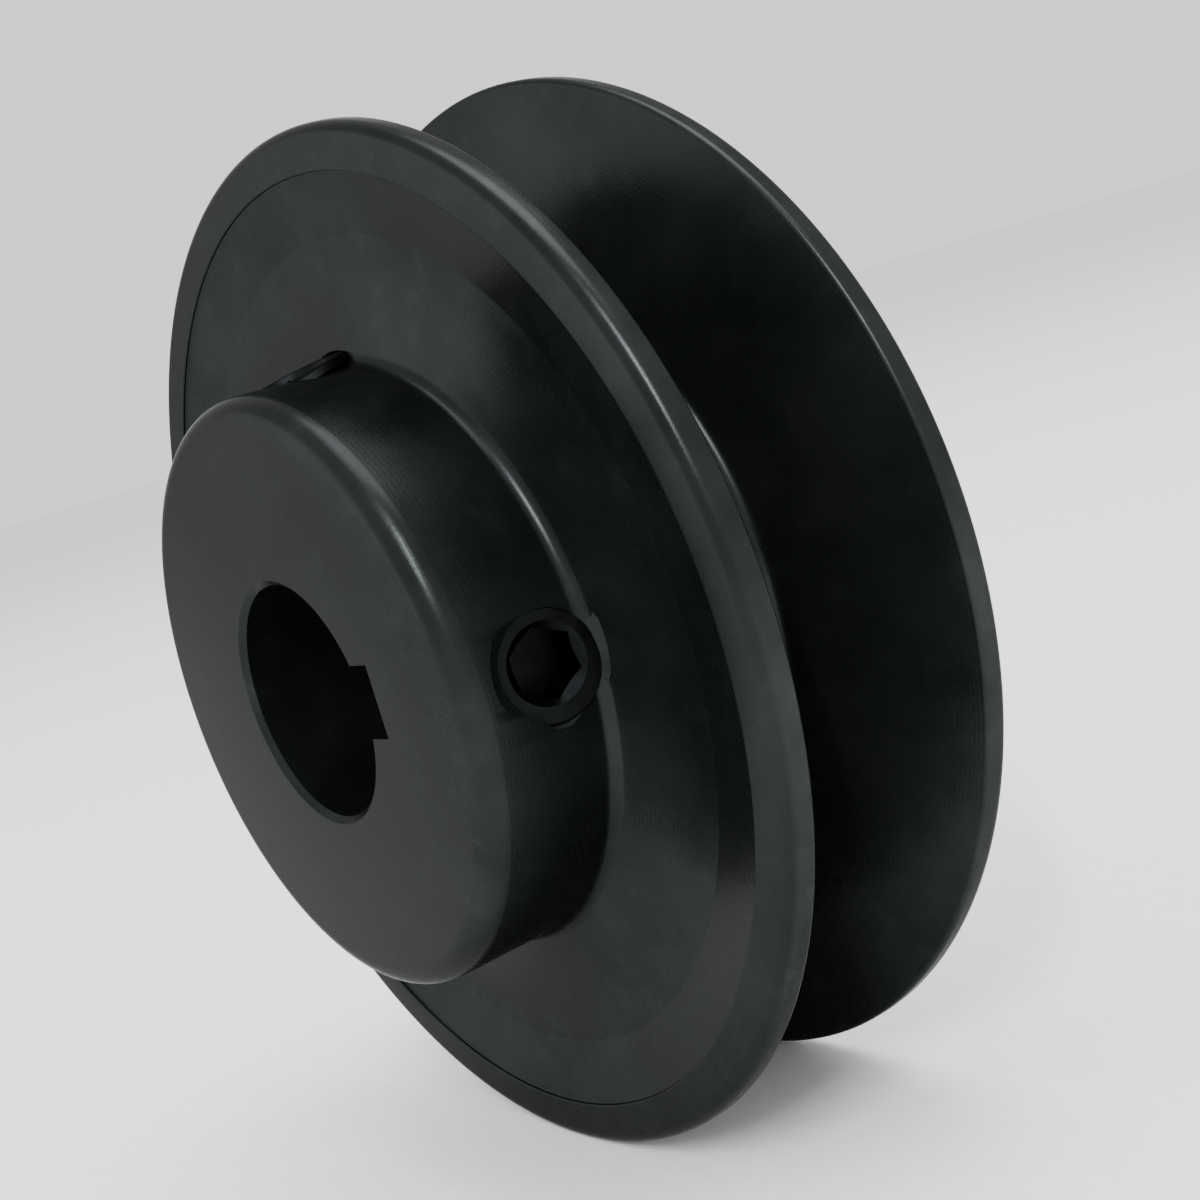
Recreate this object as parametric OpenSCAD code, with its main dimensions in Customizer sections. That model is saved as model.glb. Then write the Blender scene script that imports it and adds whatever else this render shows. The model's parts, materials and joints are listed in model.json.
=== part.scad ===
// Single-groove V-belt pulley with a hub on one side, a keyed bore and two socket set screws.
// The bore lies along Y with the hub towards -Y, the keyway towards +X and the second set
// screw towards +Z. The origin is on the bore's axis, in the middle plane of the groove.

/* [Rim and groove] */
// Outside diameter of the two flanges
rim_d = 71.12; // [58:0.01:120]
// Width over the two flanges
rim_w = 18; // [15:0.1:26]
// Width of the flat on each flange's edge, beside the groove
land_w = 1.9; // [1.6:0.1:3]
// Angle between the two groove walls
groove_angle = 34; // [30:1:40]
// Depth of the groove below the flanges' edge
groove_depth = 12.7; // [8:0.1:14]
// Radius of the groove's lips
lip_r = 0.4; // [0.2:0.05:0.5]
// Radius in the groove's two bottom corners
groove_root_r = 0.8; // [0.3:0.1:1.2]
// Radius of the flanges' outer corners
rim_corner_r = 1; // [0.3:0.1:1.2]

/* [Side faces] */
// Radial width of the flat ring on each flange's face
face_ring_w = 3; // [2:0.1:5]
// Height of the step at the inner edge of the front ring
ring_step = 0.25; // [0.1:0.05:0.6]
// Radial width of the sloping band inside the front ring
slope_w = 4.15; // [2:0.05:5]
// Depth of the front recess at the crease where the slope meets the dish
crease_depth = 1.15; // [0.5:0.05:2]
// Level of the dish's inner end below the face ring, at the hub
dish_end_depth = 0.2; // [0:0.05:0.4]
// Sag of the dish between the crease and the hub
dish_sag = 0.5; // [0.2:0.05:0.9]
// Depth of the shallow recess in the rear face
rear_recess = 1.5; // [0.5:0.1:2.5]

/* [Hub] */
// Diameter of the hub
hub_d = 40.3; // [30:0.1:50]
// Length of the hub in front of the flange's face
hub_len = 9.25; // [7.5:0.05:20]
// Radius round the hub's end
hub_round_r = 1.7; // [0.5:0.1:2.5]
// Fillet where the hub meets the dish
hub_fillet_r = 1; // [0.5:0.1:1.5]

/* [Bore and keyway] */
// Diameter of the bore
bore_d = 15.9; // [12:0.1:22]
// Chamfer at both mouths of the bore
bore_chamfer = 0.4; // [0.2:0.1:0.8]
// Width of the keyway
key_w = 4.76; // [4:0.01:6]
// Depth of the keyway below the bore's wall, at its middle
key_depth = 2.12; // [1.5:0.01:3]

/* [Set screws] */
// Major diameter of the set screws' thread
thread_d = 7.94; // [5:0.01:8]
// Play between a set screw and its hole, on the radius
screw_play = 0.05; // [0.02:0.01:0.09]
// Length of a set screw
screw_len = 7.94; // [6:0.01:9.5]
// Distance of the screw holes' mouths in front of the flange's face
screw_forward = 2.9; // [2.5:0.1:6]
// Lean of the screws' outer ends towards the hub's end
screw_lean = 12; // [0:1:15]
// Depth of the keyway screw's face below the hub's surface
keyway_screw_sink = 0.46; // [0:0.02:1.5]
// Depth of the side screw's face below the hub's surface
side_screw_sink = -0.2; // [-1:0.05:1.5]
// Width across the flats of the hex socket
hex_af = 3.97; // [2.5:0.01:4]
// Depth of the hex socket
hex_depth = 3.6; // [2:0.1:4]
// Turn of the keyway screw's hex socket
keyway_hex_turn = 35; // [0:1:60]
// Turn of the side screw's hex socket
side_hex_turn = 12; // [0:1:60]
// Chamfer round the screw's face
screw_chamfer = 0.35; // [0.1:0.05:0.6]
// Outside diameter of the cup point
cup_d = 4.6; // [3.5:0.1:4.8]
// Depth of the cup
cup_depth = 1; // [0.5:0.1:1.3]

/* [Hidden] */
$fn = 120;

rim_r = rim_d / 2;
ring_r = rim_r - face_ring_w;
crease_r = ring_r - slope_w;
hub_r = hub_d / 2;
bore_r = bore_d / 2;
face_z = rim_w / 2;
hub_end_z = face_z + hub_len;
body_len = rim_w + hub_len;

wall_lean = groove_angle / 2;
groove_r = rim_r - groove_depth;
groove_half_top = face_z - land_w;
groove_half_floor = groove_half_top - groove_depth * tan(wall_lean);

screw_z = face_z + screw_forward;
screw_hole_r = thread_d / 2;
screw_r = screw_hole_r - screw_play;
cut = 1;

// The dish is an arc through the crease and the hub's foot; the fillet touches it and the hub.
crease = [crease_r, face_z - crease_depth];
foot = [hub_r, face_z - dish_end_depth];
dish_chord = norm(crease - foot);
dish_r = dish_chord * dish_chord / (8 * dish_sag) + dish_sag / 2;
chord_up = [foot.y - crease.y, crease.x - foot.x] / dish_chord;
dish_c = (crease + foot) / 2 + chord_up * (dish_r - dish_sag);
fillet_x = hub_r + hub_fillet_r;
fillet_drop = sqrt(pow(dish_r - hub_fillet_r, 2) - pow(fillet_x - dish_c.x, 2));
fillet_c = [fillet_x, dish_c.y - fillet_drop];
fillet_on_hub = [hub_r, fillet_c.y];
fillet_on_dish = dish_c + (fillet_c - dish_c) * dish_r / (dish_r - hub_fillet_r);

function heading(a) = [cos(a), sin(a)];

// The sliver between a corner at p, whose sides head along angles a and b, and an arc of radius r.
// It reaches a little past the corner, so that it shares no edge with what it is cut from or joined to.
module corner(p, a, b, r) {
    half = abs(b - a) / 2;
    along = r / tan(half);
    inwards = heading((a + b) / 2);
    difference() {
        polygon([p - inwards * r / 2, p + heading(a) * along, p + heading(b) * along]);
        translate(p + inwards * r / sin(half))
            circle(r);
    }
}

// The part of a circle that bulges past its chord from p to q, away from its centre.
module bulge(p, q, centre, r) {
    out = (p + q) / 2 - centre;
    past = out / norm(out) * r / 2;
    intersection() {
        translate(centre)
            circle(r);
        polygon([p, q, q + past, p + past]);
    }
}

module both_sides() {
    children();
    mirror([0, 1])
        children();
}

module front_recess() {
    polygon([
        [ring_r, face_z + cut],
        [ring_r, face_z - ring_step],
        crease,
        fillet_on_dish,
        fillet_on_hub,
        [hub_r, face_z + cut]
    ]);
    bulge(crease, fillet_on_dish, dish_c, dish_r);
    bulge(fillet_on_dish, fillet_on_hub, fillet_c, hub_fillet_r);
}

module rear_recess() {
    polygon([
        [ring_r, -face_z - cut],
        [ring_r, -face_z],
        [ring_r - rear_recess / 2, rear_recess - face_z],
        [hub_r + rear_recess, rear_recess - face_z],
        [hub_r, -face_z],
        [hub_r, -face_z - cut]
    ]);
}

module groove() {
    polygon([
        [rim_r + cut, groove_half_top + cut * tan(wall_lean)],
        [groove_r, groove_half_floor],
        [groove_r, -groove_half_floor],
        [rim_r + cut, -groove_half_top - cut * tan(wall_lean)]
    ]);
}

// Half section of the turned body, with radius across and the bore's axis upright.
module body_section() {
    difference() {
        union() {
            difference() {
                translate([0, -face_z])
                    square([rim_r, rim_w]);
                groove();
                rear_recess();
                front_recess();
            }
            both_sides()
                corner([groove_r, groove_half_floor], -90, wall_lean, groove_root_r);
            translate([0, groove_half_top])
                square([hub_r, hub_end_z - groove_half_top]);
        }
        both_sides() {
            corner([rim_r, face_z], 180, 270, rim_corner_r);
            corner([rim_r, groove_half_top], 90, 180 + wall_lean, lip_r);
        }
        corner([hub_r, hub_end_z], 180, 270, hub_round_r);
    }
}

module bore() {
    translate([0, 0, -face_z - cut])
        cylinder(r = bore_r, h = body_len + 2 * cut);
    for (mouth = [[-face_z, 0], [hub_end_z, 180]])
        translate([0, 0, mouth[0]])
            rotate([mouth[1], 0, 0])
                translate([0, 0, -cut])
                    cylinder(r1 = bore_r + bore_chamfer + cut, r2 = bore_r, h = bore_chamfer + cut);
}

module keyway() {
    translate([0, -key_w / 2, -face_z - cut])
        cube([bore_r + key_depth, key_w, body_len + 2 * cut]);
}

// Places a child that points along +Z at a screw hole's mouth, turned round the bore.
module on_screw_axis(turn) {
    rotate([0, 0, turn])
        translate([hub_r, 0, screw_z])
            rotate([0, 90 - screw_lean, 0])
                children();
}

// The hole starts inside the bore and runs on past the hub, where it scallops the fillet.
module screw_hole(turn) {
    on_screw_axis(turn)
        translate([0, 0, -hub_r])
            cylinder(r = screw_hole_r, h = crease_r);
}

module lie_along_y() {
    rotate([90, 0, 0])
        children();
}

module set_screw_section() {
    point_h = screw_r - cup_d / 2;
    polygon([
        [0, cup_depth],
        [cup_d / 2, 0],
        [screw_r, point_h],
        [screw_r, screw_len - screw_chamfer],
        [screw_r - screw_chamfer, screw_len],
        [0, screw_len]
    ]);
}

module set_screw(turn, sink, hex_turn) {
    on_screw_axis(turn)
        translate([0, 0, -sink - screw_len])
            difference() {
                rotate_extrude()
                    set_screw_section();
                translate([0, 0, screw_len - hex_depth])
                    rotate([0, 0, hex_turn])
                        cylinder(d = hex_af / cos(30), h = hex_depth + cut, $fn = 6);
            }
}

module pulley_body() {
    color("#2b2e2d")
        lie_along_y()
            difference() {
                rotate_extrude()
                    body_section();
                bore();
                keyway();
                screw_hole(0);
                screw_hole(90);
            }
}

module keyway_set_screw() {
    color("#17191a")
        lie_along_y()
            set_screw(0, keyway_screw_sink, keyway_hex_turn);
}

module side_set_screw() {
    color("#17191a")
        lie_along_y()
            set_screw(90, side_screw_sink, side_hex_turn);
}

pulley_body();
keyway_set_screw();
side_set_screw();
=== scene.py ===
import json
import math

import bmesh
import bpy
from mathutils import Matrix, Vector


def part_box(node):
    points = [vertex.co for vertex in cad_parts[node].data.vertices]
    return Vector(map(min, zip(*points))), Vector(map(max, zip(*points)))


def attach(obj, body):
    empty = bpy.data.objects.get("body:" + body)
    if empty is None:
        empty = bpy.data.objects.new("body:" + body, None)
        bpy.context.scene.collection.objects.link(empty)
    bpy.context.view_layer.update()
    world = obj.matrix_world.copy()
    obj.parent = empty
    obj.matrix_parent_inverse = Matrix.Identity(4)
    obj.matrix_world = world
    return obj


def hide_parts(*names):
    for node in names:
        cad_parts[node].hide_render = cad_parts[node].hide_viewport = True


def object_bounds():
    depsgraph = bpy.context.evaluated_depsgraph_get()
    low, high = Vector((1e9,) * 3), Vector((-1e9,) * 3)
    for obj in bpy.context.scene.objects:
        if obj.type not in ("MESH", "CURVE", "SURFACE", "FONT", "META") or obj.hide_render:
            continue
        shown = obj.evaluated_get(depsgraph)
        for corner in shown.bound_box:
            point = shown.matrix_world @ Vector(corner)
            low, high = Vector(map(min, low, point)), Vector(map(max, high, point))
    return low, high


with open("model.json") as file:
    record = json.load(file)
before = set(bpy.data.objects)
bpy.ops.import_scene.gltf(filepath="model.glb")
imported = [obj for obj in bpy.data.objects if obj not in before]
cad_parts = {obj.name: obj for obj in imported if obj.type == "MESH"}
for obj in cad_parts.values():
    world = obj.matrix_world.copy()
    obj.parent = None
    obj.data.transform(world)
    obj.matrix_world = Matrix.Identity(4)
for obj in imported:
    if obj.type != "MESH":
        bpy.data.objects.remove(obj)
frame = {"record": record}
cad_low, cad_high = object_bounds()

# ---- Camera and room ----
# A short telephoto close to the pulley, well round towards the keyway and a little above the
# bore's level, rolled so that the hub leans down to the left. No shift, so that every view fits.
MM = 0.001
camera_place = Vector((113.23, -69.39, 17.49)) * MM
camera_azimuth = math.radians(56.30)
camera_elevation = math.radians(7.69)
camera_roll = math.radians(16.73)
camera_lens = 57.34

lens = bpy.data.cameras.new("camera")
lens.lens = camera_lens
lens.clip_start = 5 * MM
camera = bpy.data.objects.new("camera", lens)
camera_turn = (
    Matrix.Rotation(camera_azimuth, 4, "Z")
    @ Matrix.Rotation(math.pi / 2 - camera_elevation, 4, "X")
    @ Matrix.Rotation(-camera_roll, 4, "Z")
)
camera.matrix_world = Matrix.Translation(camera_place) @ camera_turn
bpy.context.scene.collection.objects.link(camera)
bpy.context.scene.camera = camera

# Softboxes: a big one on the left that the hub's end mirrors, one overhead, and a narrow strip
# high on the right that draws the thin glints on the turned edges. Place, width, height, watts.
softboxes = {
    "left_softbox": ((-0.52, -0.50, 0.22), 0.50, 0.50, 1.3),
    "top_softbox": ((0.05, 0.10, 0.80), 0.60, 0.60, 7.0),
    "right_strip": ((0.42, -0.38, 0.42), 0.03, 0.25, 4.0),
}
for name, (place, width, height, watts) in softboxes.items():
    light = bpy.data.lights.new(name, "AREA")
    light.shape = "RECTANGLE"
    light.size = width
    light.size_y = height
    light.energy = watts
    softbox = bpy.data.objects.new(name, light)
    softbox.location = place
    softbox.rotation_euler = (-Vector(place)).to_track_quat("-Z", "Y").to_euler()
    bpy.context.scene.collection.objects.link(softbox)

world = bpy.data.worlds.new("studio")
world.use_nodes = True
room = world.node_tree.nodes["Background"]
room.inputs["Color"].default_value = (1.0, 1.0, 1.0, 1)
room.inputs["Strength"].default_value = 1.25
bpy.context.scene.world = world

# ---- Turned body ----
# One blank of grey iron, faced, bored and grooved on a lathe: two flanges with a belt groove
# between them, a dished web and a hub on the front. The keyway is broached and the two screw
# holes are tapped after turning. It is the piece that everything rides on.
blank_low, blank_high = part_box("pulley_body")
rim_r = blank_high.x
rear_y = blank_high.y
hub_y = blank_low.y
rim_w = 18 * MM
front_y = rear_y - rim_w
bore_r = next(m for m in frame["record"]["mounts"] if m["name"] == "bore")["dims"]["r_mm"] * MM

land_w = 1.9 * MM
groove_depth = 12.7 * MM
groove_lean = math.radians(17)
groove_root_r = 0.8 * MM
lip_r = 0.4 * MM
rim_corner_r = 1 * MM
ring_r = rim_r - 3 * MM
ring_step = 0.25 * MM
crease_r = ring_r - 4.15 * MM
crease_y = front_y + 1.15 * MM
crease_round = 0.25 * MM
hub_r = 20.15 * MM
hub_round_r = 1.7 * MM
hub_fillet_r = 1 * MM
foot_y = front_y + 0.2 * MM
dish_sag = 0.5 * MM
dish_blend_r = 12 * MM
rear_recess = 1.5 * MM
recess_round = 0.3 * MM
bore_chamfer = 0.4 * MM
broken_edge = 0.12 * MM
turned_steps = 360
arc_step = 8
weld_gap = 0.002 * MM
smooth_below = math.radians(28)


def take_only(piece):
    """Deselects everything else and makes a piece the active one."""
    bpy.ops.object.select_all(action="DESELECT")
    bpy.context.view_layer.objects.active = piece
    piece.select_set(True)


def draw_outline(name, outline):
    """Draws a line of (radius, distance along Y) points, one vertex extruded from the last."""
    bpy.ops.object.select_all(action="DESELECT")
    radius, along = outline[0][:2]
    bpy.ops.mesh.primitive_plane_add(size=0.1 * MM, location=(radius, along, 0))
    piece = bpy.context.object
    piece.name = name
    bpy.ops.object.transform_apply(location=True, rotation=True, scale=True)
    bpy.ops.object.mode_set(mode="EDIT")
    bpy.ops.mesh.select_all(action="SELECT")
    bpy.ops.mesh.merge(type="CENTER")
    for before, after in zip(outline, outline[1:]):
        step = (after[0] - before[0], after[1] - before[1], 0)
        bpy.ops.mesh.extrude_vertices_move(TRANSFORM_OT_translate={"value": step})
    return piece


def select_at(piece, place):
    """Selects the one vertex of an outline that lies at place."""
    bpy.ops.mesh.select_all(action="DESELECT")
    mesh = bmesh.from_edit_mesh(piece.data)
    nearest = min(mesh.verts, key=lambda v: (v.co - place).length)
    nearest.select_set(True)
    bmesh.update_edit_mesh(piece.data)


def weld():
    """Merges the edited piece's coincident points."""
    bpy.ops.mesh.select_all(action="SELECT")
    bpy.ops.mesh.remove_doubles(threshold=weld_gap)


def lathe(name, outline, steps):
    """Turns an outline of (radius, along, corner radius) points about Y.

    The outline is closed when it ends where it began, and otherwise it runs from axis to axis.
    """
    piece = draw_outline(name, outline)
    places = [Vector((p[0], p[1], 0)) for p in outline]
    for before, corner, after, point in zip(places, places[1:], places[2:], outline[1:]):
        if point[2] == 0:
            continue
        half = (before - corner).angle(after - corner) / 2
        segments = max(2, round(math.degrees(math.pi - 2 * half) / arc_step))
        select_at(piece, corner)
        bpy.ops.mesh.bevel(
            offset_type="OFFSET",
            offset=point[2] / math.tan(half),
            segments=segments,
            affect="VERTICES",
            clamp_overlap=False,
        )
    weld()
    bpy.ops.mesh.spin(steps=steps, angle=2 * math.pi, center=(0, 0, 0), axis=(0, 1, 0))
    weld()
    close_solid()
    return piece


def close_solid():
    """Turns the edited piece's faces outwards and leaves edit mode."""
    bpy.ops.mesh.select_all(action="SELECT")
    bpy.ops.mesh.normals_make_consistent(inside=False)
    bpy.ops.object.mode_set(mode="OBJECT")


def cut_with(piece, tool, operation="DIFFERENCE"):
    """Applies one Boolean cut to a piece and throws the tool away."""
    cut = piece.modifiers.new("cut", "BOOLEAN")
    cut.operation = operation
    cut.solver = "EXACT"
    cut.object = tool
    take_only(piece)
    bpy.ops.object.modifier_apply(modifier=cut.name)
    bpy.data.objects.remove(tool, do_unlink=True)


groove_r = rim_r - groove_depth
groove_top = rim_w / 2 - land_w
groove_floor = groove_top - groove_depth * math.tan(groove_lean)

# The dish is an arc from the crease to the hub's foot, drawn through three points on it, each
# with a wide rounding.
dish_chord = math.hypot(crease_r - hub_r, crease_y - foot_y)
dish_r = dish_chord**2 / (8 * dish_sag) + dish_sag / 2
dish_half = math.asin(dish_chord / 2 / dish_r)
chord_mid = Vector(((crease_r + hub_r) / 2, (crease_y + foot_y) / 2))
chord_dir = Vector((crease_r - hub_r, crease_y - foot_y)).normalized()
chord_in = Vector((-chord_dir.y, chord_dir.x))
dish_points = []
for share in (0.25, 0.5, 0.75):
    swing = dish_half * (1 - 2 * share)
    drop = dish_r * (math.cos(swing) - math.cos(dish_half))
    across = dish_r * math.sin(swing)
    point = chord_mid + chord_in * drop - chord_dir * across
    dish_points.append((point.x, point.y, dish_blend_r))

body_outline = [
    (bore_r, hub_y + bore_chamfer, 0),
    (bore_r + bore_chamfer, hub_y, 0),
    (hub_r, hub_y, hub_round_r),
    (hub_r, foot_y, hub_fillet_r),
    *dish_points,
    (crease_r, crease_y, crease_round),
    (ring_r, front_y + ring_step, broken_edge),
    (ring_r, front_y, broken_edge),
    (rim_r, front_y, rim_corner_r),
    (rim_r, -groove_top, lip_r),
    (groove_r, -groove_floor, groove_root_r),
    (groove_r, groove_floor, groove_root_r),
    (rim_r, groove_top, lip_r),
    (rim_r, rear_y, rim_corner_r),
    (ring_r, rear_y, broken_edge),
    (ring_r - rear_recess / 2, rear_y - rear_recess, recess_round),
    (hub_r + rear_recess, rear_y - rear_recess, recess_round),
    (hub_r, rear_y, broken_edge),
    (bore_r + bore_chamfer, rear_y, 0),
    (bore_r, rear_y - bore_chamfer, 0),
    (bore_r, hub_y + bore_chamfer, 0),
]
body = lathe("turned_body", body_outline, turned_steps)

# A broach pulled through the bore leaves one square-cornered slot from end to end.
key_w = 4.76 * MM
key_floor = bore_r + 2.12 * MM
broach_len = rear_y - hub_y + 4 * MM
bpy.ops.object.select_all(action="DESELECT")
bpy.ops.mesh.primitive_cube_add(size=1, location=(key_floor / 2, (rear_y + hub_y) / 2, 0))
broach = bpy.context.object
broach.scale = (key_floor, broach_len, key_w)
bpy.ops.object.transform_apply(location=True, rotation=True, scale=True)
cut_with(body, broach)

# Two 5/16-18 holes, a quarter turn apart, are drilled and tapped into the hub at a lean, so that
# the drill clears the flange. The tap's thread is cut a little wider than the screws' own.
pitch = 25.4 / 18 * MM
lean = math.radians(12)
mouth_y = front_y - 2.9 * MM
hole_r = 3.97 * MM
hole_inner_end = -15.2 * MM
hole_outer_end = 6 * MM
thread_deep = 0.70 * MM
screw_crest = pitch / 16
hole_crest = screw_crest + 0.04 * MM
flank = thread_deep * math.tan(math.radians(30))
thread_steps = 48


def screw_axis(turn):
    """Gives the frame of a screw hole: its origin at the mouth, its Z out of the hub."""
    return (
        Matrix.Rotation(math.pi / 2, 4, "X")
        @ Matrix.Rotation(math.radians(turn), 4, "Z")
        @ Matrix.Translation((hub_r, 0, -mouth_y))
        @ Matrix.Rotation(math.pi / 2 - lean, 4, "Y")
    )


def place_piece(piece, matrix):
    """Moves a piece made at the origin into place and applies the move."""
    piece.matrix_world = matrix
    take_only(piece)
    bpy.ops.object.transform_apply(location=True, rotation=True, scale=True)


def threaded_rod(name, crest_r, crest_half, low, high):
    """Sweeps one pitch of a 60 degree thread up a helix about Z, with flat ends at low and high."""
    root_r = crest_r - thread_deep
    first_turn = math.floor(low / pitch) - 2
    turns = math.ceil(high / pitch) + 2 - first_turn
    half_section = [(crest_r, crest_half), (root_r, crest_half + flank), (root_r, pitch / 2)]
    section = [(r, -h) for r, h in reversed(half_section)] + half_section
    rod = draw_outline(name, section)
    bpy.ops.object.mode_set(mode="OBJECT")
    upright = Matrix.Rotation(math.pi / 2, 4, "X")
    place_piece(rod, Matrix.Translation((0, 0, first_turn * pitch)) @ upright)
    helix = rod.modifiers.new("helix", "SCREW")
    helix.axis = "Z"
    helix.screw_offset = pitch
    helix.iterations = turns
    helix.steps = thread_steps
    helix.render_steps = thread_steps
    bpy.ops.object.modifier_apply(modifier=helix.name)
    bpy.ops.object.mode_set(mode="EDIT")
    weld()
    for height, above in ((low, False), (high, True)):
        bpy.ops.mesh.select_all(action="SELECT")
        bpy.ops.mesh.bisect(
            plane_co=(0, 0, height),
            plane_no=(0, 0, 1),
            use_fill=True,
            clear_inner=not above,
            clear_outer=above,
            threshold=1e-5 * MM,
        )
    close_solid()
    return rod


for turn in (0, 90):
    tap = threaded_rod("tap", hole_r, hole_crest, hole_inner_end, hole_outer_end)
    place_piece(tap, screw_axis(turn))
    cut_with(body, tap)


def srgb(code):
    """Turns an sRGB hex colour such as #2b2e2d into linear RGBA."""
    channels = [int(code[i : i + 2], 16) / 255 for i in (1, 3, 5)]
    return [c / 12.92 if c <= 0.04045 else ((c + 0.055) / 1.055) ** 2.4 for c in channels] + [1]


def add_node(tree, kind, inputs, **settings):
    """Adds one node with its settings, its inputs linked to sockets or set to constants."""
    node = tree.nodes.new(kind)
    for key, value in settings.items():
        setattr(node, key, value)
    for key, value in inputs.items():
        if isinstance(value, bpy.types.NodeSocket):
            tree.links.new(value, node.inputs[key])
        else:
            node.inputs[key].default_value = value
    return node


def start_material(name):
    """Gives a new material, its tree, its shader and the piece's coordinates in millimetres."""
    material = bpy.data.materials.new(name)
    material.use_nodes = True
    tree = material.node_tree
    metres = add_node(tree, "ShaderNodeTexCoord", {}).outputs["Object"]
    scaling = {0: metres, "Scale": 1 / MM}
    place = add_node(tree, "ShaderNodeVectorMath", scaling, operation="SCALE").outputs[0]
    return material, tree, tree.nodes["Principled BSDF"], place


def dress(piece, material, body, node):
    """Cleans and shades a piece, gives it its finish, hangs it on its body and hides the CAD piece
    it replaces.
    """
    take_only(piece)
    bpy.ops.object.mode_set(mode="EDIT")
    weld()
    bpy.ops.mesh.dissolve_degenerate(threshold=weld_gap)
    close_solid()
    bpy.ops.object.shade_smooth_by_angle(angle=smooth_below)
    piece.data.materials.clear()
    piece.data.materials.append(material)
    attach(piece, body)
    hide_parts(node)


# Black oxide over turned grey iron: a thin blue-black skin, cloudy over a few millimetres where
# it took unevenly, with the open grain of the iron under it. It reads as a soft, dark satin. The
# iron's own grain is finer than 0.16 mm, and is drawn that coarse so that it shows at all.
cloud_size = 9
bloom_size = 2.2
grain_size = 0.16
lump_roughness = 0.55
iron, tree, shader, place = start_material("black_oxide_iron")
inputs = {"Vector": place, "Scale": 1 / cloud_size, "Detail": 3, "Roughness": lump_roughness}
clouds = add_node(tree, "ShaderNodeTexNoise", inputs).outputs[0]
inputs = {"Vector": place, "Scale": 1 / bloom_size, "Detail": 4, "Roughness": lump_roughness}
blooms = add_node(tree, "ShaderNodeTexNoise", inputs).outputs[0]
inputs = {"Vector": place, "Scale": 1 / grain_size, "Detail": 3, "Roughness": lump_roughness}
grain = add_node(tree, "ShaderNodeTexNoise", inputs).outputs[0]

inputs = {0: clouds, 1: 0.35, 2: 0.65, 3: 0, 4: 1}
cloudy = add_node(tree, "ShaderNodeMapRange", inputs).outputs[0]
inputs = {0: cloudy, 6: srgb("#1b1e1e"), 7: srgb("#232626")}
skin = add_node(tree, "ShaderNodeMix", inputs, data_type="RGBA").outputs[2]
inputs = {0: blooms, 1: 0.55, 2: 0.75, 3: 0, 4: 0.35}
bloomed = add_node(tree, "ShaderNodeMapRange", inputs).outputs[0]
inputs = {0: bloomed, 6: skin, 7: srgb("#2a2d2d")}
skin = add_node(tree, "ShaderNodeMix", inputs, data_type="RGBA").outputs[2]

# The outermost edges of the rims are a little paler, as if rubbed by handling.
rub_from = 35.3
rub_to = 35.5
parts = add_node(tree, "ShaderNodeSeparateXYZ", {0: place})
inputs = {0: parts.outputs[0], 2: parts.outputs[2]}
off_axis = add_node(tree, "ShaderNodeCombineXYZ", inputs).outputs[0]
radius = add_node(tree, "ShaderNodeVectorMath", {0: off_axis}, operation="LENGTH").outputs[1]
inputs = {0: radius, 1: rub_from, 2: rub_to, 3: 0, 4: 0.4}
rubbed = add_node(tree, "ShaderNodeMapRange", inputs).outputs[0]
inputs = {0: rubbed, 1: blooms}
rubbed = add_node(tree, "ShaderNodeMath", inputs, operation="MULTIPLY").outputs[0]
inputs = {0: rubbed, 6: skin, 7: srgb("#3c3f3f")}
skin = add_node(tree, "ShaderNodeMix", inputs, data_type="RGBA").outputs[2]
tree.links.new(skin, shader.inputs["Base Color"])
shader.inputs["Metallic"].default_value = 0.75
shader.inputs["Specular Tint"].default_value = (0.30, 0.31, 0.31, 1)

inputs = {0: clouds, 1: 0.3, 2: 0.7, 3: 0.25, 4: 0.32}
satin = add_node(tree, "ShaderNodeMapRange", inputs).outputs[0]
inputs = {0: grain, 1: 0.3, 2: 0.7, 3: -0.03, 4: 0.03}
gritty = add_node(tree, "ShaderNodeMapRange", inputs).outputs[0]
inputs = {0: satin, 1: gritty}
satin = add_node(tree, "ShaderNodeMath", inputs, operation="ADD").outputs[0]
tree.links.new(satin, shader.inputs["Roughness"])

# The lathe tool's feed leaves rings a third of a millimetre apart on every turned face.
feed = 0.34
ring_depth = 0.0006 * MM
grain_depth = 0.006 * MM
inputs = {0: radius, 1: parts.outputs[1]}
travel = add_node(tree, "ShaderNodeMath", inputs, operation="ADD").outputs[0]
inputs = {0: travel, 1: 2 * math.pi / feed}
phase = add_node(tree, "ShaderNodeMath", inputs, operation="MULTIPLY").outputs[0]
rings = add_node(tree, "ShaderNodeMath", {0: phase}, operation="SINE").outputs[0]
inputs = {"Height": rings, "Distance": ring_depth, "Strength": 1.0}
surface = add_node(tree, "ShaderNodeBump", inputs).outputs[0]
inputs = {"Height": grain, "Distance": grain_depth, "Strength": 1.0, "Normal": surface}
surface = add_node(tree, "ShaderNodeBump", inputs).outputs[0]
tree.links.new(surface, shader.inputs["Normal"])
dress(body, iron, "pulley", "pulley_body")

# ---- Set screws ----
# Two cup-point socket set screws of alloy steel, 5/16 in long, with rolled threads, screwed into
# the hub with a hex key: one over the keyway, turned in almost flush, and one a quarter turn
# round, standing a little proud at its rear edge.
screw_r = 3.92 * MM
screw_len = 7.94 * MM
blank_r = screw_r + 0.02 * MM
cup_r = 2.3 * MM
cup_land = 0.15 * MM
cup_land_rise = 0.05 * MM
cup_depth = 1 * MM
face_chamfer = 0.38 * MM
hex_corner_r = 3.97 / 2 / math.cos(math.radians(30)) * MM
hex_depth = 3.6 * MM
lead_r = 2.55 * MM
screw_steps = 96

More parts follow.
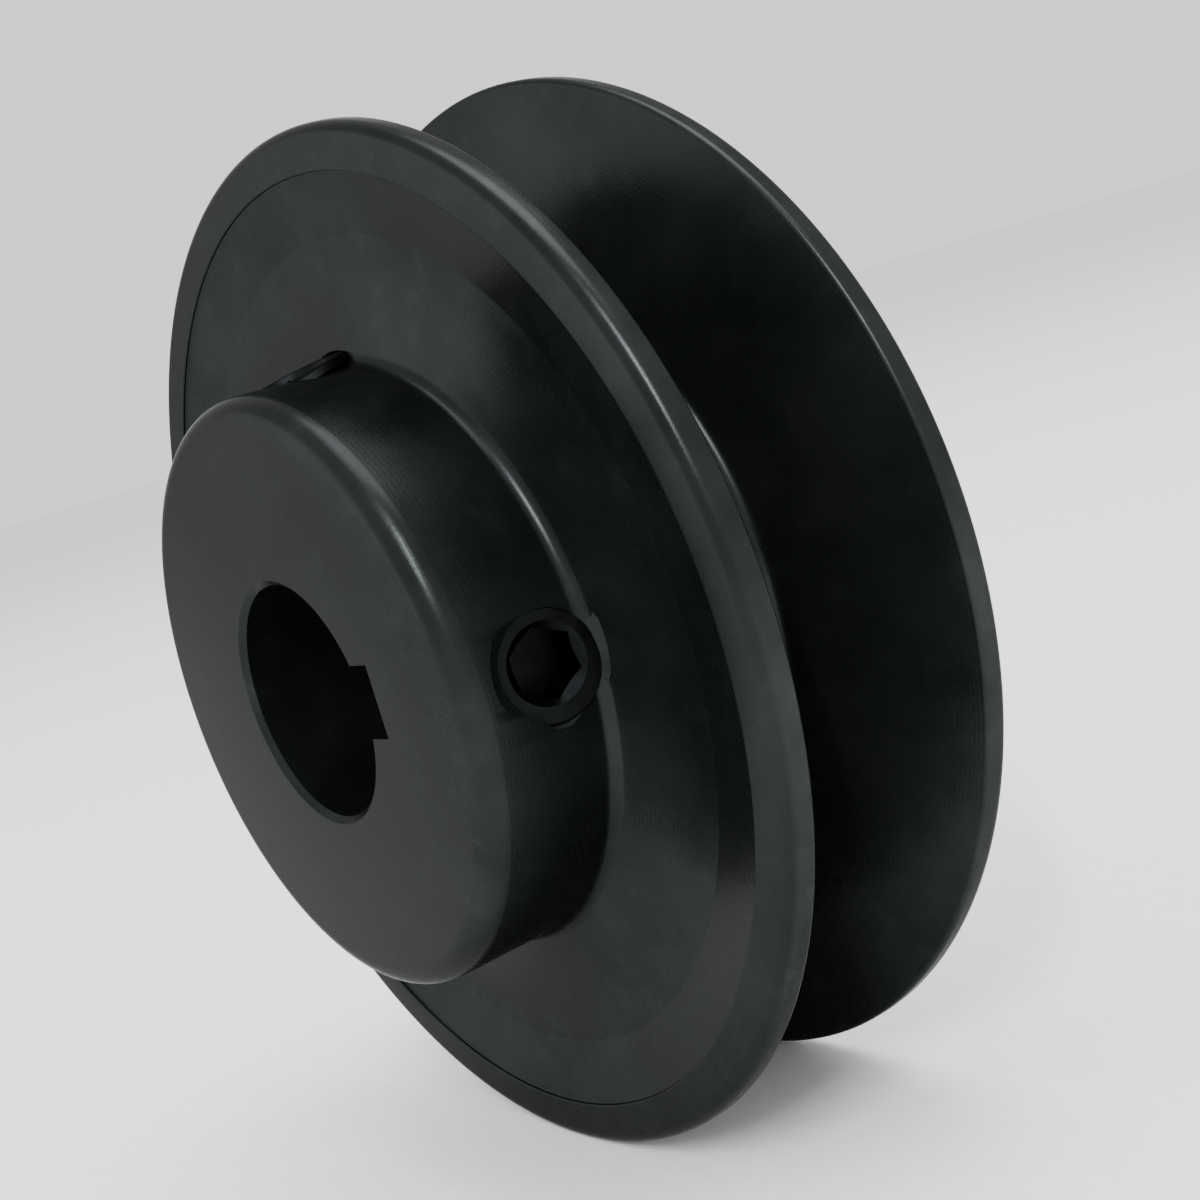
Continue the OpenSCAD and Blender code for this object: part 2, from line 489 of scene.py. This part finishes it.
# Black oxide over alloy steel: smoother and darker than the iron, and patchily oily, with only a
# very fine grit. The real grit is finer than 0.09 mm, and is drawn that coarse so that it shows.
oil_size = 1.6
grit_size = 0.09
grit_depth = 0.003 * MM
steel, tree, shader, place = start_material("black_oxide_steel")
inputs = {"Vector": place, "Scale": 1 / oil_size, "Detail": 3, "Roughness": lump_roughness}
oil = add_node(tree, "ShaderNodeTexNoise", inputs).outputs[0]
inputs = {"Vector": place, "Scale": 1 / grit_size, "Detail": 2, "Roughness": lump_roughness}
grit = add_node(tree, "ShaderNodeTexNoise", inputs).outputs[0]
inputs = {0: oil, 1: 0.35, 2: 0.65, 3: 0, 4: 1}
oiled = add_node(tree, "ShaderNodeMapRange", inputs).outputs[0]
inputs = {0: oiled, 6: srgb("#0e1011"), 7: srgb("#161819")}
skin = add_node(tree, "ShaderNodeMix", inputs, data_type="RGBA").outputs[2]
tree.links.new(skin, shader.inputs["Base Color"])
shader.inputs["Metallic"].default_value = 0.9
shader.inputs["Specular Tint"].default_value = (0.5, 0.5, 0.5, 1)
inputs = {0: oil, 1: 0.3, 2: 0.7, 3: 0.28, 4: 0.40}
satin = add_node(tree, "ShaderNodeMapRange", inputs).outputs[0]
tree.links.new(satin, shader.inputs["Roughness"])
inputs = {"Height": grit, "Distance": grit_depth, "Strength": 1.0}
surface = add_node(tree, "ShaderNodeBump", inputs).outputs[0]
tree.links.new(surface, shader.inputs["Normal"])


def set_screw(name, body_name, node, turn, sink, hex_turn):
    """Makes one set screw in its hole, its face sink below the hub's surface."""
    top = -sink
    tip = top - screw_len
    over = top + MM
    piece = threaded_rod(name, screw_r, screw_crest, tip - pitch, top + pitch)
    upright = Matrix.Rotation(math.pi / 2, 4, "X")
    blank_outline = [
        (0, tip + cup_depth, 0),
        (cup_r - cup_land, tip + cup_land_rise, 0),
        (cup_r, tip, 0),
        (blank_r, tip + blank_r - cup_r, 0),
        (blank_r, top - face_chamfer, 0),
        (blank_r - face_chamfer, top, 0),
        (0, top, 0),
    ]
    blank = lathe("blank", blank_outline, screw_steps)
    place_piece(blank, upright)
    cut_with(piece, blank, "INTERSECT")
    lead_outline = [(0, top - lead_r, 0), (lead_r, top, 0), (lead_r, over, 0), (0, over, 0)]
    lead_in = lathe("lead_in", lead_outline, screw_steps)
    place_piece(lead_in, upright)
    cut_with(piece, lead_in)
    bpy.ops.object.select_all(action="DESELECT")
    bpy.ops.mesh.primitive_cylinder_add(
        vertices=6,
        radius=hex_corner_r,
        depth=hex_depth + MM,
        location=(0, 0, top + (MM - hex_depth) / 2),
    )
    key = bpy.context.object
    key.rotation_euler = (0, 0, math.radians(hex_turn))
    bpy.ops.object.transform_apply(location=True, rotation=True, scale=True)
    cut_with(piece, key)
    place_piece(piece, screw_axis(turn))
    dress(piece, steel, body_name, node)


set_screw("keyway_screw_visual", "keyway_screw", "keyway_set_screw", 0, 0.46 * MM, 5)
set_screw("side_screw_visual", "side_screw", "side_set_screw", 90, -0.2 * MM, 42)

# ---- Paper floor ----
# A broad sheet of white paper lies under the pulley, large enough to meet the pale room evenly.
# It is dull and faintly fibrous, and reads as plain white. Its fibres are drawn far coarser than
# real ones, which are too fine to show.
floor_r = 6
floor_sides = 96
fibre_size = 1.5
paper, tree, shader, place = start_material("white_paper")
inputs = {"Vector": place, "Scale": 1 / fibre_size, "Detail": 3, "Roughness": lump_roughness}
fibres = add_node(tree, "ShaderNodeTexNoise", inputs).outputs[0]
inputs = {0: fibres, 1: 0.3, 2: 0.7, 3: 0, 4: 1}
fibrous = add_node(tree, "ShaderNodeMapRange", inputs).outputs[0]
inputs = {0: fibrous, 6: srgb("#f4f4f4"), 7: srgb("#f9f9f9")}
pale = add_node(tree, "ShaderNodeMix", inputs, data_type="RGBA").outputs[2]
tree.links.new(pale, shader.inputs["Base Color"])
shader.inputs["Roughness"].default_value = 0.85

bpy.ops.object.select_all(action="DESELECT")
bpy.ops.mesh.primitive_circle_add(
    vertices=floor_sides, radius=floor_r, fill_type="NGON", location=(0, 0, cad_low.z)
)
floor = bpy.context.object
floor.name = "paper_floor"
bpy.ops.object.transform_apply(location=True, rotation=True, scale=True)
floor.data.materials.append(paper)
